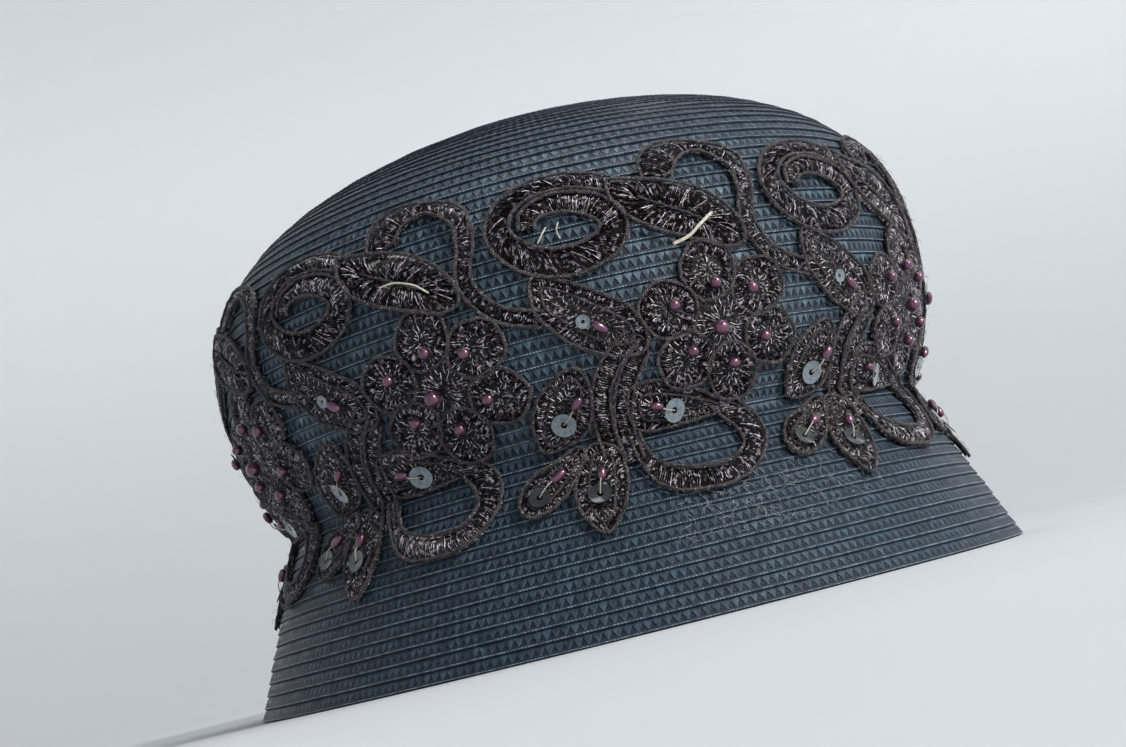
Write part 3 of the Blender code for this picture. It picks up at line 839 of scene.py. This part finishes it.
class LaceMaker:
    """Gathers one repeat of the lace, flat on the chart, before it is laid on the hat."""

    def __init__(self, satin, cord, ground):
        self.parts = []
        self.satin, self.cord_finish, self.ground_finish = satin, cord, ground
        self.stitches_made = 0
        self.loose = []

    def keep(self, piece, material):
        piece.data.materials.append(material)
        self.parts.append(piece)

    def satin_between(self, first, second, rise, base, across=4):
        """Stitches side by side from one line to the other, over padding. Each is a ridge."""
        stitches = max(4, round(max(length_of(first), length_of(second)) / STITCH))
        rows = 2 * stitches + 1
        first, second = even_steps(first, rows), even_steps(second, rows)
        share = np.linspace(0, 1, across)[None, :, None]
        ridge = np.where(np.arange(rows) % 2 == 1, 1, 0)
        uneven = np.repeat(rng.uniform(0.55, 1, stitches + 1), 2)[:rows]
        lean = np.repeat(rng.normal(0, STITCH_LEAN, stitches + 1), 2)[:rows]
        slip = lean[:, None] * (share[..., 0] - 0.5)
        flat = between(first, second, share) + runs_of(first)[:, None, :] * slip[..., None]
        arch = np.sin(math.pi * share[..., 0]) ** PADDING_POWER
        lift = base + rise * arch + (STITCH_RIDGE * ridge * uneven)[:, None] * (0.45 + 0.55 * arch)
        spots = lifted(flat, lift)
        along = self.stitches_made + np.arange(rows)[:, None] / 2 + 0.25
        self.stitches_made += stitches + 3
        self.keep(laid_grid("satin", spots, along, share[..., 0]), self.satin)
        # Some stitches get a pale loose fibre over them: a painted glint.
        for row in range(1, rows - 1, 2):
            if rng.uniform() < GLINT_FIBRE_SHARE:
                start, end = np.sort(rng.uniform(0.05, 0.95, 2))
                if end - start > GLINT_FIBRE_LEAST:
                    self.loose.append(fibre_on(spots[row], (start, (start + end) / 2, end), 0.10))

    def cord_on(self, line, lift, radius=CORD_RADIUS, closed=False):
        """A two-ply cord laid along a line."""
        rows = max(4, round(length_of(line) / CORD_STEP) + 1)
        line = even_steps(line, rows)
        run = np.arange(rows)[:, None] * length_of(line) / (rows - 1)
        around = np.linspace(0, math.tau, CORD_SIDES + 1)[None, :]
        turns = max(1, round(length_of(line) / CORD_TWIST))
        twist = run / length_of(line) * turns * math.pi
        reach = radius * (1 + 0.16 * np.cos(2 * (around - twist)))
        wander = rng.normal(0, 0.05, (rows, 1))
        if closed:
            wander[-1] = wander[0]
        side = sides_of(line)
        if closed:
            side[0] = side[-1] = (side[0] + side[-1]) / 2
        flat = line[:, None, :2] + side[:, None, :] * (reach * np.cos(around) + wander)[..., None]
        lifts = lift + reach * np.sin(around) + wander
        piece = laid_grid("cord", lifted(flat, lifts), run, around / math.tau, closed=True)
        if not closed:
            with editing("DESELECT"):
                bpy.ops.mesh.select_non_manifold()
                bpy.ops.mesh.fill_holes(sides=CORD_SIDES)
        self.keep(piece, self.cord_finish)

    def floor_in(self, outline, middle_line, lift):
        """Dark netting from an outline in to a middle line."""
        rows = max(12, round(length_of(outline) / NET_STEP))
        outline, middle_line = even_steps(outline, rows), even_steps(middle_line, rows)
        share = np.linspace(0, 1, 5)[None, :, None]
        lifts = lift + rng.normal(0, 0.10, (rows, share.size))
        lifts[-1] = lifts[0]
        lifts[:, -1] = lift
        spots = lifted(between(outline, middle_line, share), lifts)
        self.keep(laid_grid("ground", spots, np.arange(rows)[:, None], share[..., 0]), self.ground_finish)
        # A pale loose fibre over each row of netting: a painted glint.
        for row in range(rows):
            start = rng.uniform(0.05, 0.6)
            self.loose.append(fibre_on(spots[row], (start, start + 0.15, start + 0.32), 0.22))

    def rimmed(self, outline, axis, band, rise=1, base=0.3, inner_cord=True):
        """A hollow motif: a band of satin inside a cord, and dark netting in the middle."""
        middle_line = axis_of(outline, axis)
        inner = outline + (middle_line - outline) * band
        self.satin_between(outline, inner, rise, base)
        self.floor_in(outline + (middle_line - outline) * band * NET_TUCK, middle_line, base + NET_LIFT)
        self.cord_on(outline, base + RIM_CORD_LIFT, closed=True)
        if inner_cord:
            self.cord_on(inner, base + INNER_CORD_LIFT, FINE_CORD_RADIUS, closed=True)

    def edged(self, first, second, rise, base, cord_lift):
        """Satin from one line to another, with a cord on each."""
        self.satin_between(first, second, rise, base)
        self.cord_on(first, base + cord_lift)
        self.cord_on(second, base + cord_lift)

    def ribbon(self, stations, rise=1, base=0.3):
        """Edged satin across a middle line."""
        line = smooth_line(stations, False, CURVE_STEP)
        across = sides_of(line) * line[:, 2:3] / 2
        self.edged(line[:, :2] + across, line[:, :2] - across, rise, base, RIBBON_CORD_LIFT)

    def between_lines(self, lines, rise=1.1, base=0.35):
        """Edged satin from one charted line to another."""
        first, second = (smooth_line(points, False, CURVE_STEP) for points in lines)
        self.edged(first, second, rise, base, LINE_CORD_LIFT)


def axis_of(outline, axis):
    """For each point of an outline, the nearest place on its axis, given by two ends."""
    start, end = axis
    run = end - start
    share = np.clip(((outline - start) @ run) / max(run @ run, TINY), 0, 1)
    return start + share[:, None] * run


def leaf_axis(outline):
    """The middle stretch of a leaf, along its longest way."""
    middle = outline.mean(axis=0)
    _, _, ways = np.linalg.svd(outline - middle)
    reach = (outline - middle) @ ways[0]
    return tuple(middle + ways[0] * end * LEAF_AXIS_SHARE for end in (reach.min(), reach.max()))


def petal_outline(petal):
    """A petal's oval, longer away from the flower's middle."""
    out = np.asarray(petal, dtype=float)
    middle = FLOWER_MIDDLE + out
    way = out / np.hypot(*out)
    side = np.array((-way[1], way[0]))
    turn = np.linspace(0, math.tau, RING_POINTS)
    ripple = 1 + 0.03 * np.sin(5 * turn)
    return (
        middle
        + np.outer(np.cos(turn) * ripple, way) * PETAL_HALF_LENGTH
        + np.outer(np.sin(turn) * ripple, side) * PETAL_HALF_WIDTH
    )


def flat_repeat(satin, cord, ground, glint):
    """One whole repeat of the lace, flat: columns, rows and lifts as its coordinates."""
    lace = LaceMaker(satin, cord, ground)
    lace.between_lines(ARCH)
    lace.ribbon(STEM)
    lace.ribbon(TRUNK_LEFT, base=0.25)
    lace.ribbon(TRUNK_RIGHT)
    lace.between_lines(SCROLL)
    lace.ribbon(WHORL, rise=1.2, base=0.4)

    big = smooth_line(BIG_LEAF, True, CURVE_STEP)
    axis = leaf_axis(big)
    vein = axis_of(big, axis)
    lace.satin_between(big, vein + (big - vein) * 0.04, 1.2, 0.35, across=6)
    lace.cord_on(big, 1.9, closed=True)
    lace.cord_on(np.linspace(axis[0], axis[1], 40), 1.35, FINE_CORD_RADIUS)
    for points in BEADED_LEAVES:
        outline = smooth_line(points, True, CURVE_STEP)
        lace.rimmed(outline, leaf_axis(outline), 0.50)
    eye = FLOWER_MIDDLE + np.array(FLOWER_EYE["off"])
    turn = np.linspace(0, math.tau, RING_POINTS)
    reach = np.array((FLOWER_EYE["half_length"], FLOWER_EYE["half_width"]))
    ring = eye + np.stack([np.cos(turn), np.sin(turn)], axis=-1) * reach
    lace.floor_in(ring, np.repeat(eye[None, :], RING_POINTS, axis=0), FLOWER_EYE["lift"])
    for petal, _ in PETALS:
        middle = FLOWER_MIDDLE + petal
        lace.rimmed(petal_outline(petal), (middle, middle + 0.01), 0.55, 1.35, 0.5, inner_cord=False)
    lace.keep(fibre_mesh("glint_threads", np.array(lace.loose), GLINT_FIBRE_RADIUS), glint)
    return joined("flat_lace_repeat", lace.parts)


# The lace stays this far off the hat, and each repeat's points wander a little, in mm
LOWEST_LIFT = 0.05
SEWN_WANDER = 0.035


def lay_lace(flat):
    """Copies the flat repeat round the hat, each copy with its own mesh."""
    chart = places_of(flat.data)
    chart[:, 2] = np.maximum(chart[:, 2], LOWEST_LIFT)
    for repeat in range(REPEATS):
        mesh = flat.data.copy()
        copy = added(f"lace_repeat_{repeat + 1}", mesh)
        mesh.name = copy.name
        put(mesh, from_chart(chart + rng.normal(0, SEWN_WANDER, chart.shape), repeat))
        point_outwards(copy)
        finish_piece(copy, None, "black_corded_lace", "lace_trim")
    bpy.data.objects.remove(flat, do_unlink=True)


# Beads, sequins and threads

def set_down(piece, spot, repeat, slope=0, tip=0):
    """Moves a piece modelled at the origin, in millimetres, to its chart spot, turned by its slope
    in the surface and tipped off it. Both are in degrees."""
    column, row, lift = spot
    probe = np.array([(column, row, lift), (column + 0.5, row, lift), (column, row + 0.5, lift)])
    here, east, north = from_chart(probe, repeat)
    east = (east - here) / np.linalg.norm(east - here)
    out = np.cross(east, north - here)
    out /= np.linalg.norm(out)
    along, aside = turned(east, np.cross(out, east), math.radians(slope))
    along, out = turned(along, out, math.radians(tip))
    put(piece.data, here + places_of(piece.data) * MM @ np.stack([along, aside, out]))


# Pearls, beads and their threads: radii, and lifts of their middles off the hat, in mm
CENTRE_PEARL = {"radius": 2, "lift": 4.6}
SMALL_PEARL = {"radius": 1.5, "lift": 3.1}
LONG_BEAD = {"radius": 1.15, "lift": 2.7}
SEQUIN_LIFT = 2.3
THREAD_RADIUS = 0.16

# A pearl's ends are dented beyond this share of its radius. A sequin is cupped in two steps, each a
# share of its radius and a depth, round its hole. A thread goes by shares of its way, at lifts.
PEARL_HOLE_FROM = 0.93
SEQUIN_CUP = ((0.30, -0.14), (0.42, -0.05))
SEQUIN_WALL = 0.14
THREAD_PATH = ((0, 2.8), (0.55, 3.3), (1, 2.1))


def round_pearl(name, radius):
    """A pearl with its thread hole, at the origin, in millimetres."""
    bpy.ops.mesh.primitive_uv_sphere_add(segments=16, ring_count=10, radius=radius)
    pearl = bpy.context.object
    pearl.name = name
    with editing("DESELECT"):
        pass
    # The faces round the two ends are pressed in, and then the hole is turned to lie along X
    for face in pearl.data.polygons:
        face.select = abs(face.center[2]) > radius * PEARL_HOLE_FROM
    bpy.ops.object.mode_set(mode="EDIT")
    bpy.ops.transform.resize(value=(0.8, 0.8, 0.90), orient_type="GLOBAL")
    bpy.ops.mesh.select_all(action="SELECT")
    bpy.ops.transform.rotate(value=math.pi / 2, orient_axis="Y", center_override=(0, 0, 0))
    bpy.ops.object.mode_set(mode="OBJECT")
    return pearl


def long_bead(length, radius):
    """A grain-shaped bead along X, at the origin, in millimetres."""
    bead = round_pearl("bead", radius)
    with editing():
        bpy.ops.transform.resize(value=(length / 2 / radius, 1, 1), orient_type="GLOBAL")
    return bead


def sequin(radius):
    """A cupped disc with a hole, at the origin, in millimetres."""
    bpy.ops.mesh.primitive_circle_add(vertices=24, radius=radius, fill_type="NGON")
    disc = bpy.context.object
    with editing():
        for share, depth in SEQUIN_CUP:
            bpy.ops.mesh.inset(thickness=radius * share, depth=depth)
        bpy.ops.mesh.delete(type="FACE")
    wall = disc.modifiers.new("wall", "SOLIDIFY")
    wall.thickness = SEQUIN_WALL
    bpy.ops.object.modifier_apply(modifier=wall.name)
    return disc


def thread_piece(name, spots, repeat, radius, material):
    """A loose thread through chart spots."""
    points = from_chart(smooth_line(spots, False, THREAD_STEP), repeat)
    curve = bpy.data.curves.new(name, "CURVE")
    curve.dimensions = "3D"
    curve.bevel_depth = radius * MM
    curve.bevel_resolution = 1
    curve.use_fill_caps = True
    spline = curve.splines.new("POLY")
    spline.points.add(len(points) - 1)
    spline.points.foreach_set("co", np.concatenate([points, np.ones((len(points), 1))], axis=1).ravel())
    select_only(added(name, curve))
    bpy.ops.object.convert(target="MESH")
    piece = bpy.context.object
    piece.data.materials.append(material)
    return piece


def sew_beads(pearl, clear, dark, pale):
    """Pearls, long beads, sequins and their holding threads, on every repeat."""
    for repeat in range(REPEATS):
        number = repeat + 1
        centre = round_pearl(f"flower_centre_pearl_{number}", CENTRE_PEARL["radius"])
        set_down(centre, (*FLOWER_MIDDLE, CENTRE_PEARL["lift"]), repeat, 20)
        finish_piece(centre, pearl, "plum_pearl", f"centre_pearl_{number}")

        small = []
        for _, place in PETALS:
            bead = round_pearl("pearl", SMALL_PEARL["radius"])
            spot = (*(FLOWER_MIDDLE + place), SMALL_PEARL["lift"])
            set_down(bead, spot, repeat, float(rng.uniform(0, 180)))
            small.append(bead)
        for row in LEAF_BEADS:
            bead = long_bead(row["length"], LONG_BEAD["radius"])
            set_down(bead, (*row["middle"], LONG_BEAD["lift"]), repeat, row["slope"])
            small.append(bead)
        finish_piece(joined(f"small_pearls_{number}", small), pearl, "plum_pearl")

        bright, smoked = [], []
        for row in SEQUINS:
            disc = sequin(row["radius"])
            turn, tip = row["turn"] + rng.normal(0, 6), row["tip"] + rng.normal(0, 3)
            set_down(disc, (*row["middle"], SEQUIN_LIFT), repeat, turn, tip)
            (smoked if "dark" in row else bright).append(disc)
        finish_piece(joined(f"clear_sequins_{number}", bright), clear, "plum_pearl")
        finish_piece(joined(f"smoked_sequins_{number}", smoked), dark, "plum_pearl")

        holds = []
        for row in LEAF_BEADS:
            if "sequin" in row:
                start, end = np.array(row["middle"]), np.array(SEQUINS[row["sequin"]]["middle"])
                spots = [(*(start + (end - start) * share), lift) for share, lift in THREAD_PATH]
                holds.append(thread_piece("hold", spots, repeat, THREAD_RADIUS, pale))
        finish_piece(joined(f"bead_threads_{number}", holds))


# Loose straws that the photograph shows on the front: repeat, radius in mm and chart spots
STRAYS = (
    (1, 0.42, ((-7.8, 67.5, 3), (-4, 68.6, 3.6), (-0.5, 71, 3.5), (3.2, 73.4, 3))),
    (0, 0.24, ((-7, 75.2, 3), (-3, 75, 3.3), (1.5, 73.2, 3.2), (4.5, 70.4, 2.6))),
    (0, 0.20, ((31, 75, 0.9), (32.4, 76.8, 1.3), (33.6, 78.4, 0.8))),
    (0, 0.18, ((36.2, 75, 0.7), (35.8, 77, 1.1), (36.6, 78.9, 0.7))),
)


def lay_strays(straw):
    """The few pale straws and threads caught on the front."""
    for number, (repeat, radius, spots) in enumerate(STRAYS, 1):
        finish_piece(thread_piece(f"stray_straw_{number}", spots, repeat, radius, straw))


# Lint: how many fibres between two columns and two rows of the chart, their length, lifts and radius
# in mm. Each rises to its lift by the shares of its arch.
LACE_LINT = {
    "name": "lace_lint", "count": 1700, "columns": (0, CHART_COLUMNS * REPEATS), "rows": (2, 93),
    "length": 2.2, "lift": (1.8, 3), "radius": 0.05,
}
BRIM_LINT = {
    "name": "brim_lint", "count": 190, "columns": (46, 102), "rows": (-7, 9),
    "length": 2.8, "lift": (0.35, 0.7), "radius": 0.055,
}
LINT_ARCH = np.array((0.4, 1, 0.7))


def lay_lint(row, material):
    """Fine short fibres scattered over a stretch of the chart, as one piece."""
    count, lowest = row["count"], row["lift"][0]
    start = np.stack([rng.uniform(*row["columns"], count), rng.uniform(*row["rows"], count)], axis=-1)
    way, bend = rng.uniform(0, math.tau, count), rng.normal(0, 0.9, count)
    reach = row["length"] * rng.uniform(0.5, 1.3, count)
    top = rng.uniform(*row["lift"], count)
    share = np.linspace(0, 1, len(LINT_ARCH))
    angle, run = way[:, None] + bend[:, None] * share, reach[:, None] * share
    lifts = lowest + (top - lowest)[:, None] * LINT_ARCH
    lines = np.stack([start[:, :1] + run * np.cos(angle), start[:, 1:] + run * np.sin(angle), lifts], -1)
    piece = fibre_mesh(row["name"], lines, row["radius"])
    put(piece.data, from_chart(places_of(piece.data), 0))
    point_outwards(piece)
    finish_piece(piece, material)


# Stage, lights and camera

def build_stage():
    """A pale floor that sweeps up into a round wall, with no line between them."""
    out = np.linspace(0, 1, STAGE_ROWS)[:, None]
    turn = np.linspace(-math.pi, math.pi, STAGE_COLUMNS)[None, :]
    radius = STAGE_RADIUS * np.sin(out * math.pi / 2) ** 0.8
    bend = np.clip((radius - STAGE_FLAT) / (STAGE_RADIUS - STAGE_FLAT), 0, 1)
    height = STAGE_HEIGHT * (1 - np.sqrt(1 - np.minimum(bend, 0.9999) ** 2)) - FLOOR_DROP
    spots = np.stack([radius * np.sin(turn), -radius * np.cos(turn), height + 0 * turn], axis=-1)
    stage = laid_grid("studio_floor", spots, turn, out, closed=True)
    stage.data.materials.append(floor_material())
    stage.data.shade_smooth()


# Lights: name, place, aim, size, power and colour, in metres and watts. Then the room's own light.
LIGHTS = (
    ("window_light", (1.25, -0.95, 0.95), (0, 0, 0.07), 0.45, 28, (1, 0.99, 0.975)),
    ("top_light", (0.3, 0.1, 1.7), (0, 0, 0.1), 1, 12, (0.96, 0.98, 1)),
    ("wall_light", (1.2, 0.6, 1.7), (0.6, 2.2, 0.6), 0.9, 4.5, (0.97, 0.98, 1)),
)
ROOM_COLOUR = (0.78, 0.81, 0.86, 1)
ROOM_STRENGTH = 0.22


def area_light(name, place, aim, size, power, colour):
    """A square soft light."""
    lamp = bpy.data.lights.new(name, "AREA")
    lamp.size = size
    lamp.energy = power
    lamp.color = colour
    light = added(name, lamp)
    light.location = place
    way = np.array(aim) - np.array(place)
    down = math.acos(-way[2] / np.linalg.norm(way))
    light.rotation_euler = (down, 0, math.atan2(way[1], way[0]) - math.pi / 2)


def light_the_set():
    """Soft daylight from the upper right, light from above, and a little on the wall."""
    for row in LIGHTS:
        area_light(*row)
    world = bpy.data.worlds.new("pale_room")
    bpy.context.scene.world = world
    world.use_nodes = True
    sky = world.node_tree.nodes["Background"]
    sky.inputs["Color"].default_value = ROOM_COLOUR
    sky.inputs["Strength"].default_value = ROOM_STRENGTH
    bpy.context.scene.view_settings.view_transform = "Standard"


def place_camera():
    """The photograph's view, rolled as it was."""
    forward = np.array((0, math.cos(CAMERA_RISE), -math.sin(CAMERA_RISE)))
    spot = -forward * CAMERA_DISTANCE
    right = np.array((1, 0, 0))
    up = np.cross(right, forward)
    right, up = turned(right, up, -CAMERA_ROLL)
    forward, right = turned(forward, right, CAMERA_PAN)
    forward, up = turned(forward, up, CAMERA_TILT)
    lens = bpy.data.cameras.new("camera")
    lens.lens = CAMERA_LENS_MM
    lens.sensor_width = CAMERA_SENSOR_MM
    lens.clip_start = CAMERA_CLIP
    camera = added("camera", lens)
    matrix = np.eye(4)
    matrix[:3] = np.stack([right, up, -forward, spot], axis=1)
    camera.matrix_world = matrix.T.tolist()
    bpy.context.scene.camera = camera


def dress_the_hat():
    """Makes every piece."""
    deselect_all()
    place_camera()
    build_stage()
    light_the_set()
    pale = thread_material("pale_thread", (0.30, 0.27, 0.24, 1), (0.50, 0.46, 0.40, 1))
    straw = thread_material("pale_straw", (0.42, 0.38, 0.30, 1), (0.64, 0.59, 0.49, 1))
    # Pale, near white fibres on the black lace: painted glints.
    glint = thread_material("glinting_thread", (0.05, 0.042, 0.045, 1), (0.95, 0.88, 0.90, 1))
    dark_lint = thread_material("dark_lint", (0.030, 0.026, 0.026, 1), (0.10, 0.085, 0.085, 1))
    straw_finish = straw_material()
    for row in BRAID_RINGS:
        braid_ring(row, straw_finish)
    braid_start(straw_finish)
    lay_lace(flat_repeat(satin_material(), cord_material(), ground_material(), glint))
    clear = sequin_material("clear_sequin", (0.045, 0.060, 0.070, 1), (0.24, 0.30, 0.34, 1))
    smoked = sequin_material("smoked_sequin", (0.008, 0.010, 0.012, 1), (0.030, 0.036, 0.042, 1))
    pearl = clouded_material(
        "plum_pearl", (0.060, 0.014, 0.038, 1), (0.20, 0.075, 0.140, 1), 420, 1, (0.24, 0.10),
        Metallic=0.70, Coat_Weight=1, Coat_Roughness=0.16,
    )
    sew_beads(pearl, clear, smoked, pale)
    lay_strays(straw)
    lay_lint(LACE_LINT, dark_lint)
    grey_lint = thread_material("grey_lint", (0.14, 0.15, 0.16, 1), (0.40, 0.42, 0.44, 1))
    lay_lint(BRIM_LINT, grey_lint)


dress_the_hat()
